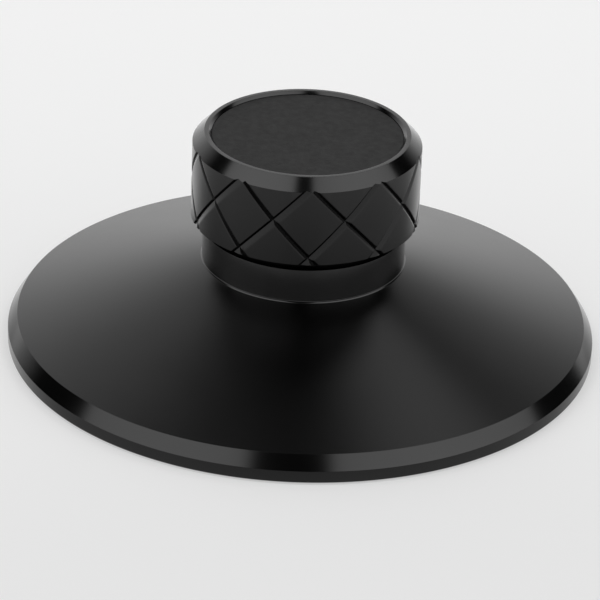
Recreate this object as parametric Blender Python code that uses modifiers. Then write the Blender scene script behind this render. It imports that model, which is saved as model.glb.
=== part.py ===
"""A record weight: a turned disc with a grooved knob, an inlay in its top and a soft ring in its underside.

Metres, +Z up. The origin is on the axis, at the underside of the soft ring, where the weight stands.
"""

import math

import bmesh
import bpy

MM = 0.001

# Base disc, from its underside up to the neck's foot
BASE_RADIUS = 50.0 * MM
BASE_EDGE_BREAK = 0.2 * MM
RIM_WALL_HEIGHT = 2.1 * MM
RIM_CHAMFER_WIDTH = 1.6 * MM
RIM_CHAMFER_HEIGHT = 2.35 * MM
CONE_HEIGHT = 10.9 * MM
FOOT_FILLET = 0.45 * MM

# Neck and the relief groove between it and the knob
NECK_HEIGHT = 6.0 * MM
RELIEF_HEIGHT = 2.0 * MM
RELIEF_DEPTH = 1.2 * MM

# Knob, whose side is a straight band between its lower edge and the top chamfer
KNOB_RADIUS = 19.25 * MM
KNOB_OVERHANG = 2.05 * MM
BAND_HEIGHT = 13.25 * MM
KNOB_CHAMFER = 1.95 * MM
LAND_WIDTH = 0.75 * MM
LIP_CHAMFER = 0.45 * MM

# Crossed V-grooves round the band; those that climb to the left are the broader ones
GROOVES_EACH_WAY = 10
GROOVE_ANGLE = math.radians(120)
RIGHT_GROOVE_WIDTH = 0.5 * MM
LEFT_GROOVE_WIDTH = 0.8 * MM
DIAMOND_HEIGHT = 13.0 * MM
CROSSING_ABOVE_MIDDLE = 1.1 * MM
FIRST_CROSSING_TURN = math.radians(2.5)

# Inlay disc in the knob's recess
INLAY_THICKNESS = 2.0 * MM
INLAY_EDGE_BREAK = 0.15 * MM
INLAY_DROP = 0.5 * MM
INLAY_SIDE_GAP = 0.3 * MM

# Blind bore that takes the turntable's spindle
BORE_RADIUS = 3.7 * MM
BORE_DEPTH = 22.0 * MM
BORE_MOUTH_CHAMFER = 0.8 * MM
DRILL_POINT_ANGLE = math.radians(118)

# Soft ring in the underside, in a pocket that leaves metal at the rim and round the bore
POCKET_RIM = 4.7 * MM
HUB_WALL = 10.0 * MM
PAD_THICKNESS = 1.2 * MM
PAD_STAND = 0.3 * MM
PAD_SIDE_GAP = 0.3 * MM

# Clearance under a piece that lies in its seat
SEAT_GAP = 0.3 * MM

# Facets round the axis, along the foot fillet, and along one groove
TURNED_STEPS = 96
FILLET_STEPS = 3
GROOVE_STEPS = 12
MERGE_DISTANCE = 0.001 * MM
SHARP_ANGLE = math.radians(25)

# Heights of the body's shoulders, from the underside up
BASE_BOTTOM = PAD_STAND
WALL_TOP = BASE_BOTTOM + RIM_WALL_HEIGHT
RIM_TOP = WALL_TOP + RIM_CHAMFER_HEIGHT
NECK_FOOT = RIM_TOP + CONE_HEIGHT
NECK_TOP = NECK_FOOT + NECK_HEIGHT
BAND_BOTTOM = NECK_TOP + RELIEF_HEIGHT
BAND_TOP = BAND_BOTTOM + BAND_HEIGHT
KNOB_TOP = BAND_TOP + KNOB_CHAMFER

# Radii that follow from the knob's
NECK_RADIUS = KNOB_RADIUS - KNOB_OVERHANG
RELIEF_RADIUS = NECK_RADIUS - RELIEF_DEPTH
LAND_OUTER_RADIUS = KNOB_RADIUS - KNOB_CHAMFER
LAND_INNER_RADIUS = LAND_OUTER_RADIUS - LAND_WIDTH
RECESS_RADIUS = LAND_INNER_RADIUS - LIP_CHAMFER

# Seats of the inlay and of the soft ring
INLAY_RADIUS = RECESS_RADIUS - INLAY_SIDE_GAP
INLAY_TOP = KNOB_TOP - INLAY_DROP
INLAY_BOTTOM = INLAY_TOP - INLAY_THICKNESS
RECESS_FLOOR = INLAY_BOTTOM - SEAT_GAP
POCKET_FLOOR = PAD_THICKNESS + SEAT_GAP
POCKET_OUTER_RADIUS = BASE_RADIUS - POCKET_RIM
POCKET_INNER_RADIUS = BORE_RADIUS + HUB_WALL
PAD_OUTER_RADIUS = POCKET_OUTER_RADIUS - PAD_SIDE_GAP
PAD_INNER_RADIUS = POCKET_INNER_RADIUS + PAD_SIDE_GAP


def clear_scene():
    """Leaves an empty scene to build in."""
    for old in list(bpy.data.objects):
        bpy.data.objects.remove(old, do_unlink=True)


def new_collection(name):
    """A collection of that name, linked to the scene."""
    collection = bpy.data.collections.new(name)
    bpy.context.scene.collection.children.link(collection)
    return collection


def finish_material(name, colour, roughness, metallic):
    """A plain finish: colour, roughness and metallic value."""
    material = bpy.data.materials.new(name)
    material.use_nodes = True
    shader = material.node_tree.nodes["Principled BSDF"]
    shader.inputs["Base Color"].default_value = (*colour, 1.0)
    shader.inputs["Roughness"].default_value = roughness
    shader.inputs["Metallic"].default_value = metallic
    material.diffuse_color = (*colour, 1.0)
    return material


def mesh_object(name, mesh, collection):
    """An object for that mesh, in that collection."""
    made = bpy.data.objects.new(name, mesh)
    collection.objects.link(made)
    return made


def turned_piece(name, outline, collection, closed=False):
    """A solid turned from an outline of (radius, height) points that runs down its outer side."""
    points = [(radius, 0.0, height) for radius, height in outline]
    edges = [(i, i + 1) for i in range(len(points) - 1)]
    if closed:
        edges.append((len(points) - 1, 0))
    mesh = bpy.data.meshes.new(name)
    mesh.from_pydata(points, edges, [])
    made = mesh_object(name, mesh, collection)
    turn = made.modifiers.new("turn", "SCREW")
    turn.axis = "Z"
    turn.angle = 2 * math.pi
    turn.steps = TURNED_STEPS
    turn.render_steps = TURNED_STEPS
    turn.use_merge_vertices = True
    turn.merge_threshold = MERGE_DISTANCE
    turn.use_smooth_shade = True
    return made


def shade_by_angle(made):
    """Fixes the shape as a mesh that is smooth round the turn and sharp along its edges."""
    depsgraph = bpy.context.evaluated_depsgraph_get()
    mesh = bpy.data.meshes.new_from_object(made.evaluated_get(depsgraph), depsgraph=depsgraph)
    made.modifiers.clear()
    made.data = mesh
    mesh.shade_smooth()
    mesh.set_sharp_from_angle(angle=SHARP_ANGLE)


def foot_fillet():
    """Points of the small round between neck and cone, from the neck down to the cone."""
    slope = math.atan2(CONE_HEIGHT, BASE_RADIUS - RIM_CHAMFER_WIDTH - NECK_RADIUS)
    centre_radius = NECK_RADIUS + FOOT_FILLET
    centre_height = NECK_FOOT + FOOT_FILLET * (1 - math.sin(slope)) / math.cos(slope)
    sweep = math.pi / 2 - slope
    points = []
    for i in range(FILLET_STEPS + 1):
        angle = math.pi + sweep * i / FILLET_STEPS
        radius = centre_radius + FOOT_FILLET * math.cos(angle)
        height = centre_height + FOOT_FILLET * math.sin(angle)
        points.append((radius, height))
    return points


def body_outline():
    """Section of the turned body, from the recess floor over the knob, down the cone and up the bore."""
    recess = [
        (0.0, RECESS_FLOOR),
        (RECESS_RADIUS, RECESS_FLOOR),
        (RECESS_RADIUS, KNOB_TOP - LIP_CHAMFER),
        (LAND_INNER_RADIUS, KNOB_TOP),
    ]
    knob = [
        (LAND_OUTER_RADIUS, KNOB_TOP),
        (KNOB_RADIUS, BAND_TOP),
        (KNOB_RADIUS, BAND_BOTTOM),
    ]
    relief = [
        (RELIEF_RADIUS, BAND_BOTTOM),
        (RELIEF_RADIUS, NECK_TOP),
        (NECK_RADIUS, NECK_TOP),
    ]
    base = [
        (BASE_RADIUS - RIM_CHAMFER_WIDTH, RIM_TOP),
        (BASE_RADIUS, WALL_TOP),
        (BASE_RADIUS, BASE_BOTTOM + BASE_EDGE_BREAK),
        (BASE_RADIUS - BASE_EDGE_BREAK, BASE_BOTTOM),
    ]
    pocket = [
        (POCKET_OUTER_RADIUS, BASE_BOTTOM),
        (POCKET_OUTER_RADIUS, POCKET_FLOOR),
        (POCKET_INNER_RADIUS, POCKET_FLOOR),
        (POCKET_INNER_RADIUS, BASE_BOTTOM),
    ]
    bore_end = BASE_BOTTOM + BORE_DEPTH
    bore = [
        (BORE_RADIUS + BORE_MOUTH_CHAMFER, BASE_BOTTOM),
        (BORE_RADIUS, BASE_BOTTOM + BORE_MOUTH_CHAMFER),
        (BORE_RADIUS, bore_end),
        (0.0, bore_end + BORE_RADIUS / math.tan(DRILL_POINT_ANGLE / 2)),
    ]
    return recess + knob + relief + foot_fillet() + base + pocket + bore


def groove_section(mesh, turn, height, width):
    """The V in a plane through the axis, with its open side as far outside the band as its root is inside."""
    depth = width / 2 / math.tan(GROOVE_ANGLE / 2)
    climb = DIAMOND_HEIGHT * GROOVES_EACH_WAY / (2 * math.pi * KNOB_RADIUS)
    half_height = width * math.hypot(1.0, climb)
    corners = [
        (KNOB_RADIUS - depth, height),
        (KNOB_RADIUS + depth, height - half_height),
        (KNOB_RADIUS + depth, height + half_height),
    ]
    points = [
        mesh.verts.new((radius * math.cos(turn), radius * math.sin(turn), z))
        for radius, z in corners
    ]
    return points + [
        mesh.edges.new((points[0], points[1])),
        mesh.edges.new((points[1], points[2])),
        mesh.edges.new((points[2], points[0])),
    ]


def groove_cutters(name, hand, width, collection):
    """All the grooves that climb one way round the band; hand is 1 or -1."""
    crossing = (BAND_BOTTOM + BAND_TOP) / 2 + CROSSING_ABOVE_MIDDLE
    run_out = width
    low = BAND_BOTTOM - run_out
    rise = BAND_HEIGHT + 2 * run_out
    pitch = 2 * math.pi / GROOVES_EACH_WAY
    turn_per_height = hand * pitch / DIAMOND_HEIGHT
    grooves = bmesh.new()
    for i in range(GROOVES_EACH_WAY):
        start = FIRST_CROSSING_TURN + i * pitch + (low - crossing) * turn_per_height
        bmesh.ops.spin(
            grooves,
            geom=groove_section(grooves, start, low, width),
            axis=(0.0, 0.0, 1.0),
            dvec=(0.0, 0.0, rise / GROOVE_STEPS),
            angle=rise * turn_per_height,
            steps=GROOVE_STEPS,
        )
    open_edges = [edge for edge in grooves.edges if edge.is_boundary]
    bmesh.ops.holes_fill(grooves, edges=open_edges)
    bmesh.ops.recalc_face_normals(grooves, faces=grooves.faces)
    mesh = bpy.data.meshes.new(name)
    grooves.to_mesh(mesh)
    grooves.free()
    cutters = mesh_object(name, mesh, collection)
    cutters.hide_render = True
    cutters.display_type = "WIRE"
    return cutters


def cut(made, cutter):
    """Takes the cutter's shape out of the piece."""
    opening = made.modifiers.new(cutter.name, "BOOLEAN")
    opening.operation = "DIFFERENCE"
    opening.solver = "EXACT"
    opening.object = cutter


def weld(made):
    """Joins the doubled points that the cuts leave where two grooves cross."""
    joined = made.modifiers.new("weld", "WELD")
    joined.merge_threshold = MERGE_DISTANCE


def make_body(parts, cutters):
    """The turned body with its crossed grooves."""
    body = turned_piece("body", body_outline(), parts)
    cut(body, groove_cutters("grooves_climbing_right", 1, RIGHT_GROOVE_WIDTH, cutters))
    cut(body, groove_cutters("grooves_climbing_left", -1, LEFT_GROOVE_WIDTH, cutters))
    weld(body)
    shade_by_angle(body)
    anodised = finish_material("black_anodised", colour=(0.02, 0.02, 0.021), roughness=0.35, metallic=0.6)
    body.data.materials.append(anodised)


def make_top_inlay(parts):
    """The matt disc that lies in the knob's recess."""
    outline = [
        (0.0, INLAY_TOP),
        (INLAY_RADIUS - INLAY_EDGE_BREAK, INLAY_TOP),
        (INLAY_RADIUS, INLAY_TOP - INLAY_EDGE_BREAK),
        (INLAY_RADIUS, INLAY_BOTTOM),
        (0.0, INLAY_BOTTOM),
    ]
    inlay = turned_piece("top_inlay", outline, parts)
    shade_by_angle(inlay)
    matt = finish_material("matt_black_inlay", colour=(0.02, 0.02, 0.02), roughness=0.85, metallic=0.0)
    inlay.data.materials.append(matt)


def make_base_pad(parts):
    """The soft ring that the weight stands on."""
    outline = [
        (PAD_OUTER_RADIUS, PAD_THICKNESS),
        (PAD_OUTER_RADIUS, 0.0),
        (PAD_INNER_RADIUS, 0.0),
        (PAD_INNER_RADIUS, PAD_THICKNESS),
    ]
    pad = turned_piece("base_pad", outline, parts, closed=True)
    shade_by_angle(pad)
    felt = finish_material("black_felt", colour=(0.012, 0.012, 0.012), roughness=0.95, metallic=0.0)
    pad.data.materials.append(felt)


def build():
    """The whole weight."""
    clear_scene()
    parts = new_collection("record_weight")
    cutters = new_collection("cutters")
    make_body(parts, cutters)
    make_top_inlay(parts)
    make_base_pad(parts)


build()
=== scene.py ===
"""A record weight on a pale floor: black anodised metal, a matt inlay and a felt ring in its underside."""

import math

import bmesh
import bpy
from mathutils import Matrix, Vector


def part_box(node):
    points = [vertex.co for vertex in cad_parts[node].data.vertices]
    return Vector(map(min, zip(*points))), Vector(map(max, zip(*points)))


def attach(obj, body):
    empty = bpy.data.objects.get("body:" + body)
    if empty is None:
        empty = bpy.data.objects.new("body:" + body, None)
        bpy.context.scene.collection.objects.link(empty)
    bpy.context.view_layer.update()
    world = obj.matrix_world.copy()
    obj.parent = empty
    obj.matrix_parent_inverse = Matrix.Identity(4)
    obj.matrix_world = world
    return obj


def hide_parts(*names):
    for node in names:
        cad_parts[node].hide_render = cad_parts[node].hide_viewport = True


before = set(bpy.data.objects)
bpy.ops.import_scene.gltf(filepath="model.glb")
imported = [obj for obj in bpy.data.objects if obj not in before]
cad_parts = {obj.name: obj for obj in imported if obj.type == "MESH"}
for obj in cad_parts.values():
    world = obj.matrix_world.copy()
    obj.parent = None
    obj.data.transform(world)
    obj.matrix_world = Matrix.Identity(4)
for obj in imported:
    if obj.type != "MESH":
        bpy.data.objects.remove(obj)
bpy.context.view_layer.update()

MM = 0.001

# The body's section, as it is built
RIM_WALL_HEIGHT = 2.1 * MM
RIM_CHAMFER_WIDTH = 1.6 * MM
RIM_CHAMFER_HEIGHT = 2.35 * MM
CONE_HEIGHT = 10.9 * MM
FOOT_FILLET = 0.45 * MM
NECK_HEIGHT = 6.0 * MM
RELIEF_HEIGHT = 2.0 * MM
RELIEF_DEPTH = 1.2 * MM
KNOB_RADIUS = 19.25 * MM
KNOB_OVERHANG = 2.05 * MM
KNOB_CHAMFER = 1.95 * MM
LAND_WIDTH = 0.75 * MM
LIP_CHAMFER = 0.45 * MM
INLAY_FIT = 0.04 * MM
SEAT_GAP = 0.3 * MM
PAD_SIDE_GAP = 0.3 * MM
BORE_RADIUS = 3.7 * MM
BORE_DEPTH = 22.0 * MM
BORE_MOUTH_CHAMFER = 0.8 * MM
DRILL_POINT_ANGLE = math.radians(118)

# Crossed grooves round the band
GROOVES_EACH_WAY = 10
RIGHT_GROOVE_DEPTH = 0.25 * MM
LEFT_GROOVE_DEPTH = 0.28 * MM
DIAMOND_HEIGHT = 13.0 * MM
CROSSING_ABOVE_MIDDLE = 1.1 * MM
FIRST_CROSSING_TURN = math.radians(2.5)
GROOVE_RUN_OUT = 2.0 * MM
CUTTER_STANDS_OUT = 0.02 * MM

# Each wall of a groove by its slope and by the width of the shoulder that eases it into the band
STEEP_WALL = (0.7, 0.1 * MM)
SHALLOW_WALL = (0.28, 0.5 * MM)
EVEN_WALL = (0.67, 0.4 * MM)
SHOULDER_EASE = 2

# Small rounds on the edges
BASE_EDGE_BREAK = 0.2 * MM
EDGE_BREAK = 0.06 * MM
INLAY_EDGE_BREAK = 0.08 * MM
PAD_EDGE_BREAK = 0.15 * MM

# The fineness of the meshes
EDGE_STEPS = 4
SHOULDER_STEPS = 6
GROOVE_STEPS = 40
TURNED_STEPS = 360
MERGE_DISTANCE = 0.0005 * MM
SHARP_ANGLE = math.radians(28)

# Sizes that come from the frame
BODY_LOW, BODY_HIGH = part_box("body")
INLAY_LOW, INLAY_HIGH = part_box("top_inlay")
PAD_LOW, PAD_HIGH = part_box("base_pad")
BASE_RADIUS = BODY_HIGH.x
BASE_BOTTOM = BODY_LOW.z
KNOB_TOP = BODY_HIGH.z
PAD_OUTER_RADIUS = PAD_HIGH.x
PAD_INNER_RADIUS = 14.0 * MM

WALL_TOP = BASE_BOTTOM + RIM_WALL_HEIGHT
RIM_TOP = WALL_TOP + RIM_CHAMFER_HEIGHT
NECK_FOOT = RIM_TOP + CONE_HEIGHT
NECK_TOP = NECK_FOOT + NECK_HEIGHT
BAND_BOTTOM = NECK_TOP + RELIEF_HEIGHT
BAND_TOP = KNOB_TOP - KNOB_CHAMFER
NECK_RADIUS = KNOB_RADIUS - KNOB_OVERHANG
RELIEF_RADIUS = NECK_RADIUS - RELIEF_DEPTH
LAND_OUTER_RADIUS = KNOB_RADIUS - KNOB_CHAMFER
LAND_INNER_RADIUS = LAND_OUTER_RADIUS - LAND_WIDTH
RECESS_RADIUS = LAND_INNER_RADIUS - LIP_CHAMFER
RECESS_FLOOR = INLAY_LOW.z - SEAT_GAP
INLAY_RADIUS = RECESS_RADIUS - INLAY_FIT
POCKET_FLOOR = PAD_HIGH.z + SEAT_GAP
POCKET_OUTER_RADIUS = PAD_OUTER_RADIUS + PAD_SIDE_GAP
POCKET_INNER_RADIUS = PAD_INNER_RADIUS - PAD_SIDE_GAP

ACROSS = (1.0, 0.0, 0.0)
AWAY = (0.0, 1.0, 0.0)
UP = (0.0, 0.0, 1.0)

# The photograph's view of it
LENS = 228.1
SENSOR = 36.0
VIEW_ELEVATION = math.radians(27.6614)
VIEW_ROLL = math.radians(2.2192)
VIEW_DISTANCE = 0.65266
VIEW_AIM = Vector((-0.000235, 0.002811, 0.005663))
NEAREST_SEEN = 0.05
FARTHEST_SEEN = 20.0


class Value:
    """A socket that Python's operators work on, each one adding a Math node."""

    def __init__(self, tree, socket):
        self.tree = tree
        self.socket = socket

    def math(self, operation, *terms):
        return self.tree.add("ShaderNodeMath", {"operation": operation}, dict(enumerate(terms)))

    def __add__(self, other):
        return self.math("ADD", self, other)

    def __radd__(self, other):
        return self.math("ADD", other, self)

    def __sub__(self, other):
        return self.math("SUBTRACT", self, other)

    def __rsub__(self, other):
        return self.math("SUBTRACT", other, self)

    def __mul__(self, other):
        return self.math("MULTIPLY", self, other)

    def __rmul__(self, other):
        return self.math("MULTIPLY", other, self)

    def __truediv__(self, other):
        return self.math("DIVIDE", self, other)

    def __rtruediv__(self, other):
        return self.math("DIVIDE", other, self)

    def least(self, other):
        return self.math("MINIMUM", self, other)

    def most(self, other):
        return self.math("MAXIMUM", self, other)

    def between(self, low, high):
        """low where this value is 0, high where it is 1, and in step with it between them."""
        return self * (high - low) + low

    def step(self, low, high):
        """0 at low and 1 at high, with a soft change between them; low may be the higher of the two."""
        return self.tree.add(
            "ShaderNodeMapRange",
            {"interpolation_type": "SMOOTHSTEP"},
            {"Value": self, "From Min": low, "From Max": high},
        )

    def ramp(self, stops):
        """A grey that changes with this value, from stops of (value, grey)."""
        return self.tree.add("ShaderNodeValToRGB", {"stops": stops}, {"Fac": self})

    def dot(self, vector):
        """This vector's share along another."""
        return self.tree.add(
            "ShaderNodeVectorMath",
            {"operation": "DOT_PRODUCT"},
            {0: self, 1: vector},
            "Value",
        )


class Tree:
    """The nodes of one material, or of the world."""

    def __init__(self, owner):
        owner.use_nodes = True
        self.nodes = owner.node_tree.nodes
        self.links = owner.node_tree.links
        self.nodes.clear()

    def add(self, kind, settings=None, sockets=None, output=0):
        """A node of that type: its settings first, then the values or links of its sockets."""
        node = self.nodes.new(kind)
        for name, setting in (settings or {}).items():
            if name == "stops":
                self.set_stops(node.color_ramp, setting)
            else:
                setattr(node, name, setting)
        for name, given in (sockets or {}).items():
            self.feed(node.inputs[name], given)
        return Value(self, node.outputs[output]) if node.outputs else node

    def feed(self, socket, given):
        """Links a value to the socket, or sets the socket to a number or a vector."""
        if isinstance(given, Value):
            self.links.new(given.socket, socket)
        else:
            socket.default_value = given

    @staticmethod
    def set_stops(ramp, stops):
        """A ramp's stops, as (place, grey)."""
        while len(ramp.elements) < len(stops):
            ramp.elements.new(1.0)
        for element, (place, grey) in zip(ramp.elements, stops):
            element.position = place
            element.color = (grey, grey, grey, 1.0)


# Studio: a pale floor, two large soft panels, a low card, a pale sweep behind and a window

LIGHT = 0.86
DARK_ROOM = 0.025

# Directions that point sideways count as this far ahead, so that nothing is divided by zero
LEAST_REACH = 0.05

# Each panel by the ways in which it faces, rises and runs across, then by where its sides, foot
# and head lie on it, and its level
LEFT_PANEL = {
    "facing": (-0.680, -0.539, 0.494),
    "rise": (0.224, 0.490, 0.842),
    "across": (0.696, -0.683, 0.2125),
    "sides": (-0.665, 0.524),
    "ends": (-0.10, 1.35),
    "level": 1.7,
}
RIGHT_PANEL = {
    "facing": (0.7738, -0.5328, 0.3433),
    "rise": (-0.1645, 0.354, 0.9206),
    "across": (0.612, 0.769, -0.186),
    "sides": (-0.742, 0.918),
    "ends": (0.02, 1.35),
    "level": 1.65,
}
LOW_CARD = {
    "facing": (-0.949, -0.308, 0.07),
    "rise": (0.0666, 0.0217, 0.9975),
    "across": (0.308, -0.949, 0.0),
    "sides": (-0.45, 0.60),
    "ends": (-0.2, 0.08),
    "level": 1.1,
}
PANEL_SOFTNESS = 0.06
PANEL_HEAD_SOFTNESS = 0.12
PANEL_SIDE_FALLOFF = 0.35
PANEL_CLIMB = (-0.3, 0.6)
PANEL_CLIMB_LEVELS = (0.8, 1.05)
PANEL_STARTS_AHEAD = (0.0, 0.1)

# The pale sweep behind: how far its sides reach (across over away), and how bright it is up its height
SWEEP_LEFT = (2.25, 0.35)
SWEEP_RIGHT = (1.38, 0.3)
SWEEP_LEVEL = 2.0
SWEEP_CLIMB_LEFT = (
    (0.0, 0.60), (0.09, 0.72), (0.22, 0.74), (0.36, 0.79), (0.51, 0.79),
    (0.64, 0.71), (0.75, 0.62), (0.82, 0.27), (0.90, 0.0),
)
SWEEP_CLIMB_RIGHT = (
    (0.0, 0.60), (0.09, 0.72), (0.22, 0.74), (0.36, 0.74), (0.51, 0.56),
    (0.64, 0.46), (0.75, 0.13), (0.82, 0.08), (0.90, 0.0),
)
SWEEP_LEFT_TO_RIGHT = (-0.1, 0.25)
SWEEP_STARTS_AWAY = (0.0, 0.2)

# A small window high behind on the right
WINDOW = (0.216, 0.485, 0.847)
WINDOW_EDGE = (0.980, 0.997)
WINDOW_LEVEL = 1.9


def panel_light(direction, panel):
    """How bright a soft panel is in a direction."""
    ahead = direction.dot(panel["facing"])
    reach = ahead.most(LEAST_REACH)
    across = direction.dot(panel["across"]) / reach
    up = direction.dot(panel["rise"]) / reach
    left, right = panel["sides"]
    foot, head = panel["ends"]
    inside = across.step(left - PANEL_SOFTNESS, left + PANEL_SOFTNESS)
    inside = inside * across.step(right + PANEL_SOFTNESS, right - PANEL_SOFTNESS)
    inside = inside * up.step(foot - PANEL_SOFTNESS, foot + PANEL_SOFTNESS)
    inside = inside * up.step(head + PANEL_HEAD_SOFTNESS, head - PANEL_HEAD_SOFTNESS)
    off_middle = across - (left + right) / 2
    falloff = 1.0 - PANEL_SIDE_FALLOFF * off_middle * off_middle
    climb = up.step(*PANEL_CLIMB).between(*PANEL_CLIMB_LEVELS)
    return inside * falloff * climb * ahead.step(*PANEL_STARTS_AHEAD) * panel["level"]


def sweep_light(direction):
    """The pale sweep behind the object, which fades to the sides and overhead."""
    away = direction.dot(AWAY)
    across = direction.dot(ACROSS) / away.most(LEAST_REACH)
    height = direction.dot(UP)
    sides = across.step(*SWEEP_RIGHT) * across.step(-SWEEP_LEFT[0], -SWEEP_LEFT[1])
    left = height.ramp(SWEEP_CLIMB_LEFT)
    right = height.ramp(SWEEP_CLIMB_RIGHT)
    climb = across.step(*SWEEP_LEFT_TO_RIGHT).between(left, right)
    return sides * climb * away.step(*SWEEP_STARTS_AWAY) * SWEEP_LEVEL


def window_light(direction):
    """A soft spot of light."""
    return direction.dot(WINDOW).step(*WINDOW_EDGE) * WINDOW_LEVEL


def light_studio():
    """The light from all round, worked out from the direction it comes from."""
    world = bpy.data.worlds.new("studio")
    bpy.context.scene.world = world
    tree = Tree(world)
    direction = tree.add("ShaderNodeTexCoord", output="Generated")
    light = sweep_light(direction) + window_light(direction) + DARK_ROOM
    for panel in (LEFT_PANEL, RIGHT_PANEL, LOW_CARD):
        light = light + panel_light(direction, panel)
    background = tree.add("ShaderNodeBackground", {}, {"Color": light, "Strength": LIGHT})
    tree.add("ShaderNodeOutputWorld", {}, {"Surface": background})


FLOOR_SIDE = 6.0
FLOOR_BELOW_RING = 0.02 * MM
PAPER_NEAR = 0.86
PAPER_FAR = 0.97
PAPER_LIGHTENS = (-0.12, 0.16)
# How much of the floor is a glow of its own: for the camera, and in reflections, where the glow carries the
# painted shade and light below
PAPER_OWN_SHARE = 0.5
MIRRORED_OWN_SHARE = 0.85
PAPER_SHEEN = 0.22
PAPER_SHEEN_ROUGHNESS = 0.35

# How light the floor is in reflections, as painted shade and painted light: a painted shadow of the weight
# before it, darkest near the weight and lighter past it, by shares of a reach from its axis, and a level
# behind
SHADE_REACH = 0.125
SHADE_BEFORE = (
    (0.40, 0.72), (0.47, 0.50), (0.54, 0.35), (0.62, 0.42), (0.70, 0.78), (0.78, 1.0), (0.96, 1.12),
)
SHADE_BEHIND = 0.81
BEHIND_FROM = (0.020, 0.048)


def floor_paper():
    """Pale paper, lighter away from the viewer; in reflections its glow carries a painted shadow of the
    weight and painted light farther off.
    """
    material = bpy.data.materials.new("floor_paper")
    tree = Tree(material)
    place = tree.add("ShaderNodeTexCoord", output="Object")
    away = place.dot(AWAY)
    paper = away.step(*PAPER_LIGHTENS).between(PAPER_NEAR, PAPER_FAR)
    by_camera = tree.add("ShaderNodeLightPath", output="Is Camera Ray")
    by_gloss = tree.add("ShaderNodeLightPath", output="Is Glossy Ray")
    by_glass = tree.add("ShaderNodeLightPath", output="Is Transmission Ray")
    out = tree.add("ShaderNodeVectorMath", {"operation": "LENGTH"}, {0: place}, "Value")
    before = (out / SHADE_REACH).ramp(SHADE_BEFORE)
    mirrored_painted_shade_and_light = away.step(*BEHIND_FROM).between(before, SHADE_BEHIND)
    matt = tree.add("ShaderNodeBsdfDiffuse", {}, {"Color": paper})
    # In reflections the floor's glow is scaled by painted shade near the weight and painted light farther
    # off, not by how the lamps fall on it
    own = tree.add("ShaderNodeEmission", {}, {"Color": paper * by_gloss.between(1.0, mirrored_painted_shade_and_light)})
    seen = (by_camera + by_glass).least(1.0)
    own_share = seen * PAPER_OWN_SHARE + by_gloss * MIRRORED_OWN_SHARE
    surface = tree.add("ShaderNodeMixShader", {}, {0: own_share, 1: matt, 2: own})
    sheen = tree.add(
        "ShaderNodeBsdfGlossy",
        {},
        {"Color": by_gloss * PAPER_SHEEN, "Roughness": PAPER_SHEEN_ROUGHNESS},
    )
    surface = tree.add("ShaderNodeAddShader", {}, {0: surface, 1: sheen})
    tree.add("ShaderNodeOutputMaterial", {}, {"Surface": surface})
    return material


def lay_floor():
    """The floor under the weight, just clear of the felt ring."""
    half = FLOOR_SIDE / 2
    corners = [(-half, -half, 0.0), (half, -half, 0.0), (half, half, 0.0), (-half, half, 0.0)]
    mesh = bpy.data.meshes.new("studio_floor")
    mesh.from_pydata(corners, [], [(0, 1, 2, 3)])
    mesh.materials.append(floor_paper())
    floor = bpy.data.objects.new("studio_floor", mesh)
    bpy.context.scene.collection.objects.link(floor)
    floor.location.z = PAD_LOW.z - FLOOR_BELOW_RING


def place_camera():
    """The camera, turned by its elevation and its slight roll."""
    up_tilt = Vector((0.0, math.sin(VIEW_ELEVATION), math.cos(VIEW_ELEVATION)))
    back = Vector((0.0, -math.cos(VIEW_ELEVATION), math.sin(VIEW_ELEVATION)))
    level = Vector(ACROSS)
    right = level * math.cos(VIEW_ROLL) + up_tilt * math.sin(VIEW_ROLL)
    up = up_tilt * math.cos(VIEW_ROLL) - level * math.sin(VIEW_ROLL)
    data = bpy.data.cameras.new("camera")
    data.lens = LENS
    data.sensor_width = SENSOR
    data.clip_start = NEAREST_SEEN
    data.clip_end = FARTHEST_SEEN
    camera = bpy.data.objects.new("camera", data)
    bpy.context.scene.collection.objects.link(camera)
    turn = Matrix((right, up, back)).transposed().to_4x4()
    camera.matrix_world = Matrix.Translation(VIEW_AIM + back * VIEW_DISTANCE) @ turn
    bpy.context.scene.camera = camera


# Shapes


def eased(corners):
    """A section's points, from corners of (radius, height, round), with an arc where the round isn't 0."""
    points = []
    for i, (radius, height, ease) in enumerate(corners):
        here = Vector((radius, height))
        if ease == 0.0:
            points.append(here)
            continue
        before = (Vector(corners[i - 1][:2]) - here).normalized()
        after = (Vector(corners[i + 1][:2]) - here).normalized()
        half_angle = before.angle(after) / 2
        middle = (before + after).normalized()
        centre = here + middle * (ease / math.sin(half_angle))
        setback = ease / math.tan(half_angle)
        first = here + before * setback - centre
        last = here + after * setback - centre
        sweep = first.angle_signed(last)
        for k in range(EDGE_STEPS + 1):
            arm = first.copy()
            arm.rotate(Matrix.Rotation(-sweep * k / EDGE_STEPS, 2))
            points.append(centre + arm)
    return points


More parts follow.
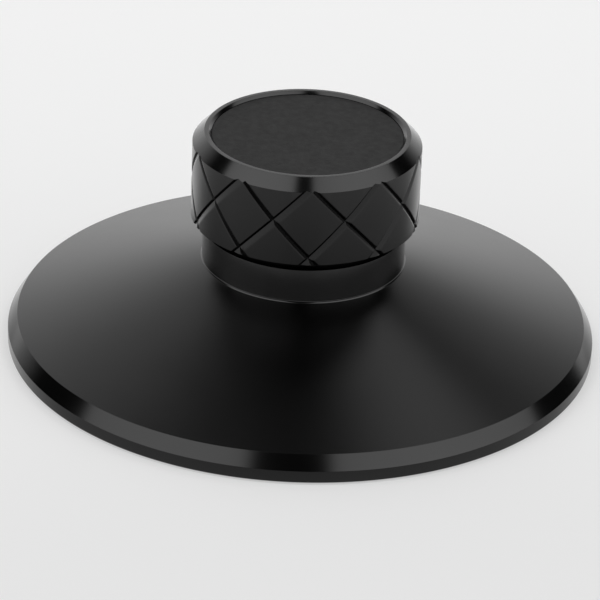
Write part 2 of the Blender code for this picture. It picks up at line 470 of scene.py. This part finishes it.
def body_corners():
    """The body's section, from the recess floor over the knob, down the cone and up the bore."""
    bore_end = BASE_BOTTOM + BORE_DEPTH
    drill_tip = bore_end + BORE_RADIUS / math.tan(DRILL_POINT_ANGLE / 2)
    return [
        (0.0, RECESS_FLOOR, 0.0),
        (RECESS_RADIUS, RECESS_FLOOR, 0.0),
        (RECESS_RADIUS, KNOB_TOP - LIP_CHAMFER, EDGE_BREAK),
        (LAND_INNER_RADIUS, KNOB_TOP, EDGE_BREAK),
        (LAND_OUTER_RADIUS, KNOB_TOP, EDGE_BREAK),
        (KNOB_RADIUS, BAND_TOP, EDGE_BREAK),
        (KNOB_RADIUS, BAND_BOTTOM, EDGE_BREAK),
        (RELIEF_RADIUS, BAND_BOTTOM, 0.0),
        (RELIEF_RADIUS, NECK_TOP, 0.0),
        (NECK_RADIUS, NECK_TOP, EDGE_BREAK),
        (NECK_RADIUS, NECK_FOOT, FOOT_FILLET),
        (BASE_RADIUS - RIM_CHAMFER_WIDTH, RIM_TOP, EDGE_BREAK),
        (BASE_RADIUS, WALL_TOP, EDGE_BREAK),
        (BASE_RADIUS, BASE_BOTTOM, BASE_EDGE_BREAK),
        (POCKET_OUTER_RADIUS, BASE_BOTTOM, EDGE_BREAK),
        (POCKET_OUTER_RADIUS, POCKET_FLOOR, 0.0),
        (POCKET_INNER_RADIUS, POCKET_FLOOR, 0.0),
        (POCKET_INNER_RADIUS, BASE_BOTTOM, EDGE_BREAK),
        (BORE_RADIUS + BORE_MOUTH_CHAMFER, BASE_BOTTOM, EDGE_BREAK),
        (BORE_RADIUS, BASE_BOTTOM + BORE_MOUTH_CHAMFER, EDGE_BREAK),
        (BORE_RADIUS, bore_end, 0.0),
        (0.0, drill_tip, 0.0),
    ]


def turned(name, points, closed=False):
    """A piece turned from a section that runs down its outer side."""
    mesh = bpy.data.meshes.new(name)
    edges = [(i, i + 1) for i in range(len(points) - 1)]
    if closed:
        edges.append((len(points) - 1, 0))
    mesh.from_pydata([(p[0], 0.0, p[1]) for p in points], edges, [])
    piece = bpy.data.objects.new(name, mesh)
    bpy.context.scene.collection.objects.link(piece)
    turn = piece.modifiers.new("turn", "SCREW")
    turn.axis = "Z"
    turn.angle = 2 * math.pi
    turn.steps = TURNED_STEPS
    turn.render_steps = TURNED_STEPS
    turn.use_merge_vertices = True
    turn.merge_threshold = MERGE_DISTANCE
    turn.use_smooth_shade = True
    fix_shape(piece)
    return piece


def fix_shape(piece):
    """The piece as its modifiers leave it."""
    depsgraph = bpy.context.evaluated_depsgraph_get()
    mesh = bpy.data.meshes.new_from_object(piece.evaluated_get(depsgraph), depsgraph=depsgraph)
    piece.modifiers.clear()
    piece.data = mesh


def smooth(piece):
    """Smooth shading that keeps the flats flat and the edges crisp."""
    piece.data.shade_smooth()
    piece.data.set_sharp_from_angle(angle=SHARP_ANGLE)
    even = piece.modifiers.new("even", "WEIGHTED_NORMAL")
    even.keep_sharp = True
    fix_shape(piece)


def groove_wall(depth, slope, shoulder):
    """One wall of a groove across its run, from its bottom to above the surface, as (way out, way down)."""
    foot_of_shoulder = depth / slope - shoulder / (SHOULDER_EASE + 1)
    wall = [(0.0, depth)]
    for step in range(SHOULDER_STEPS + 1):
        left = 1 - step / SHOULDER_STEPS
        out = foot_of_shoulder + shoulder * (1 - left)
        down = shoulder * slope / (SHOULDER_EASE + 1) * left ** (SHOULDER_EASE + 1)
        wall.append((out, down))
    wall.append((foot_of_shoulder + shoulder, -CUTTER_STANDS_OUT))
    return wall


def groove_cutters(name, hand, depth, wall_below, wall_above):
    """All the grooves that climb one way round the band; hand is 1 or -1."""
    climb = DIAMOND_HEIGHT * GROOVES_EACH_WAY / (2 * math.pi * KNOB_RADIUS)
    steepness = math.hypot(1.0, climb)
    below = groove_wall(depth, *wall_below)
    above = groove_wall(depth, *wall_above)
    section = [(KNOB_RADIUS - down, -out * steepness) for out, down in reversed(below)]
    section += [(KNOB_RADIUS - down, out * steepness) for out, down in above[1:]]
    crossing = (BAND_BOTTOM + BAND_TOP) / 2 + CROSSING_ABOVE_MIDDLE
    low = BAND_BOTTOM - GROOVE_RUN_OUT
    rise = BAND_TOP + GROOVE_RUN_OUT - low
    pitch = 2 * math.pi / GROOVES_EACH_WAY
    turn_per_height = hand * pitch / DIAMOND_HEIGHT
    points = []
    faces = []
    sides = len(section)
    for groove in range(GROOVES_EACH_WAY):
        first = len(points)
        for step in range(GROOVE_STEPS + 1):
            height = low + rise * step / GROOVE_STEPS
            turn = FIRST_CROSSING_TURN + groove * pitch + (height - crossing) * turn_per_height
            for radius, off in section:
                points.append((radius * math.cos(turn), radius * math.sin(turn), height + off))
            for corner in range(sides if step else 0):
                ring = first + step * sides
                after = (corner + 1) % sides
                faces.append((ring + corner, ring + after, ring + after - sides, ring + corner - sides))
        faces.append(tuple(range(first, first + sides)))
        faces.append(tuple(range(len(points) - 1, len(points) - sides - 1, -1)))
    mesh = bpy.data.meshes.new(name)
    mesh.from_pydata(points, [], faces)
    face_out(mesh)
    cutters = bpy.data.objects.new(name, mesh)
    bpy.context.scene.collection.objects.link(cutters)
    return cutters


def face_out(mesh):
    """Turns all the faces outwards."""
    shape = bmesh.new()
    shape.from_mesh(mesh)
    bmesh.ops.recalc_face_normals(shape, faces=shape.faces)
    shape.to_mesh(mesh)
    shape.free()


def cut(piece, cutter):
    """Takes the cutter's shape out of the piece."""
    opening = piece.modifiers.new(cutter.name, "BOOLEAN")
    opening.operation = "DIFFERENCE"
    opening.solver = "EXACT"
    opening.object = cutter
    fix_shape(piece)
    bpy.data.objects.remove(cutter, do_unlink=True)


# Finishes

# The body's finishes, in the order of its materials
SATIN, BRIGHT, TURNED = range(3)

# How far up its normal points where a face counts as turned up, and where it counts as flat
TURNED_UP = 0.3
FLAT = 0.9

# A finish's clouds lead its grey and its roughness from the first of two values to the second
SATIN_GREY = (0.029, 0.034)
SATIN_ROUGHNESS = (0.24, 0.28)
SATIN_CLOUD = {"Scale": 90.0, "Detail": 3.0}
SATIN_GRAIN = {"Scale": 5200.0, "Detail": 2.0}
SATIN_RELIEF = {"Strength": 0.03, "Distance": 0.05 * MM}
TURNED_SPREAD = 0.7
QUARTER_TURN = 0.25

BRIGHT_GREY = (0.053, 0.058)
BRIGHT_ROUGHNESS = (0.13, 0.17)
BRIGHT_CLOUD = {"Scale": 140.0, "Detail": 2.0}

INLAY_GREY = (0.0075, 0.0375)
INLAY_ROUGHNESS = 0.85
INLAY_GLOSS = 0.3
INLAY_CLOUD = {"Scale": 850.0, "Detail": 4.0}
INLAY_GRAIN = {"Scale": 3000.0, "Detail": 3.0}
INLAY_RELIEF = {"Strength": 0.5, "Distance": 0.06 * MM}

FELT_LEAST_GREY = 0.002
FELT_CLUMP_GREY = 0.014
FELT_FIBRE_GREY = 0.01
FELT_ROUGHNESS = 0.95
FELT_GLOSS = 0.2
FELT_SHEEN = 0.15
FELT_CLUMP = {"Scale": 900.0, "Detail": 5.0}
FELT_FIBRE = {"Scale": 4000.0, "Detail": 4.0, "Distortion": 1.5}
FELT_RELIEF = {"Strength": 0.8, "Distance": 0.15 * MM}


def start_material(name):
    """A new material, and the place on the piece that its textures follow."""
    material = bpy.data.materials.new(name)
    place = Tree(material).add("ShaderNodeTexCoord", output="Object")
    return material, place


def noise(place, kind):
    """Soft noise over the piece."""
    return place.tree.add("ShaderNodeTexNoise", {}, {"Vector": place, **kind})


def relief(height, kind):
    """The lean of a surface that rises and falls with a height."""
    return height.tree.add("ShaderNodeBump", {}, {"Height": height, **kind})


def give_surface(tree, sockets):
    """Ends a material with the one surface that those sockets describe."""
    surface = tree.add("ShaderNodeBsdfPrincipled", {}, sockets)
    tree.add("ShaderNodeOutputMaterial", {}, {"Surface": surface})


def anodised_satin(name, spread_across_marks=0.0):
    """Black anodising over fine satin, whose turning marks may spread the light out from the axis."""
    material, place = start_material(name)
    cloud = noise(place, SATIN_CLOUD)
    grain = noise(place, SATIN_GRAIN)
    sockets = {
        "Base Color": cloud.between(*SATIN_GREY),
        "Metallic": 1.0,
        "Roughness": cloud.between(*SATIN_ROUGHNESS),
        "Anisotropic": spread_across_marks,
        "Anisotropic Rotation": QUARTER_TURN,
        "Normal": relief(grain, SATIN_RELIEF),
    }
    give_surface(place.tree, sockets)
    return material


def anodised_bright():
    """Black anodising over the fine-cut chamfers and the knob's lip, and on the neck, where its lighter
    grey is painted light for the light the cone throws onto it.
    """
    material, place = start_material("anodised_bright")
    cloud = noise(place, BRIGHT_CLOUD)
    sockets = {
        "Base Color": cloud.between(*BRIGHT_GREY),
        "Metallic": 1.0,
        "Roughness": cloud.between(*BRIGHT_ROUGHNESS),
    }
    give_surface(place.tree, sockets)
    return material


def grained_inlay():
    """The inlay's matt, finely grained face."""
    material, place = start_material("grained_inlay")
    cloud = noise(place, INLAY_CLOUD)
    grain = noise(place, INLAY_GRAIN)
    sockets = {
        "Base Color": cloud.between(*INLAY_GREY),
        "Roughness": INLAY_ROUGHNESS,
        "Specular IOR Level": INLAY_GLOSS,
        "Normal": relief(grain, INLAY_RELIEF),
    }
    give_surface(place.tree, sockets)
    return material


def black_felt():
    """The ring's dense felt."""
    material, place = start_material("black_felt")
    clump = noise(place, FELT_CLUMP)
    fibre = noise(place, FELT_FIBRE)
    sockets = {
        "Base Color": clump * FELT_CLUMP_GREY + fibre * FELT_FIBRE_GREY + FELT_LEAST_GREY,
        "Roughness": FELT_ROUGHNESS,
        "Specular IOR Level": FELT_GLOSS,
        "Sheen Weight": FELT_SHEEN,
        "Normal": relief(clump + fibre, FELT_RELIEF),
    }
    give_surface(place.tree, sockets)
    return material


def finish_of(face):
    """Bright on the chamfers and the knob's lip, and on the neck as painted light, turned on the cone, and
    satin elsewhere.
    """
    out = math.hypot(face.center.x, face.center.y)
    height = face.center.z
    lean = face.normal.z
    on_rim = WALL_TOP <= height <= RIM_TOP and out > BASE_RADIUS - RIM_CHAMFER_WIDTH
    on_knob = height > BAND_TOP and RECESS_RADIUS < out < KNOB_RADIUS and lean > TURNED_UP
    # The neck takes the bright finish as painted light: its lighter grey stands in for the light the cone
    # throws onto it
    on_neck_painted_light = NECK_FOOT < height < NECK_TOP and out < NECK_RADIUS + FOOT_FILLET
    if (on_rim or on_knob or on_neck_painted_light) and lean < FLAT:
        return BRIGHT
    on_cone = RIM_TOP < height < NECK_FOOT and NECK_RADIUS + FOOT_FILLET < out
    return TURNED if on_cone else SATIN


def make_body():
    """The turned body, its grooves and its three finishes."""
    body = turned("turned_body", eased(body_corners()))
    cut(body, groove_cutters("grooves_climbing_right", 1, RIGHT_GROOVE_DEPTH, SHALLOW_WALL, STEEP_WALL))
    cut(body, groove_cutters("grooves_climbing_left", -1, LEFT_GROOVE_DEPTH, EVEN_WALL, EVEN_WALL))
    smooth(body)
    body.data.materials.append(anodised_satin("anodised_satin"))
    body.data.materials.append(anodised_bright())
    body.data.materials.append(anodised_satin("anodised_turned", TURNED_SPREAD))
    for face in body.data.polygons:
        face.material_index = finish_of(face)
    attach(body, "root")
    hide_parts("body")


def make_inlay():
    """The matt disc in the knob's recess."""
    corners = [
        (0.0, INLAY_HIGH.z, 0.0),
        (INLAY_RADIUS, INLAY_HIGH.z, INLAY_EDGE_BREAK),
        (INLAY_RADIUS, INLAY_LOW.z, 0.0),
        (0.0, INLAY_LOW.z, 0.0),
    ]
    inlay = turned("inlay_disc", eased(corners))
    smooth(inlay)
    inlay.data.materials.append(grained_inlay())
    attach(inlay, "root")
    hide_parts("top_inlay")


def make_felt_ring():
    """The felt ring that the weight stands on."""
    corners = [
        (PAD_OUTER_RADIUS, PAD_HIGH.z, 0.0),
        (PAD_OUTER_RADIUS, PAD_LOW.z, PAD_EDGE_BREAK),
        (PAD_INNER_RADIUS, PAD_LOW.z, PAD_EDGE_BREAK),
        (PAD_INNER_RADIUS, PAD_HIGH.z, 0.0),
    ]
    ring = turned("felt_ring", eased(corners), closed=True)
    smooth(ring)
    ring.data.materials.append(black_felt())
    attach(ring, "root")
    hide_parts("base_pad")


bpy.context.scene.view_settings.view_transform = "Standard"
place_camera()
light_studio()
lay_floor()
make_body()
make_inlay()
make_felt_ring()
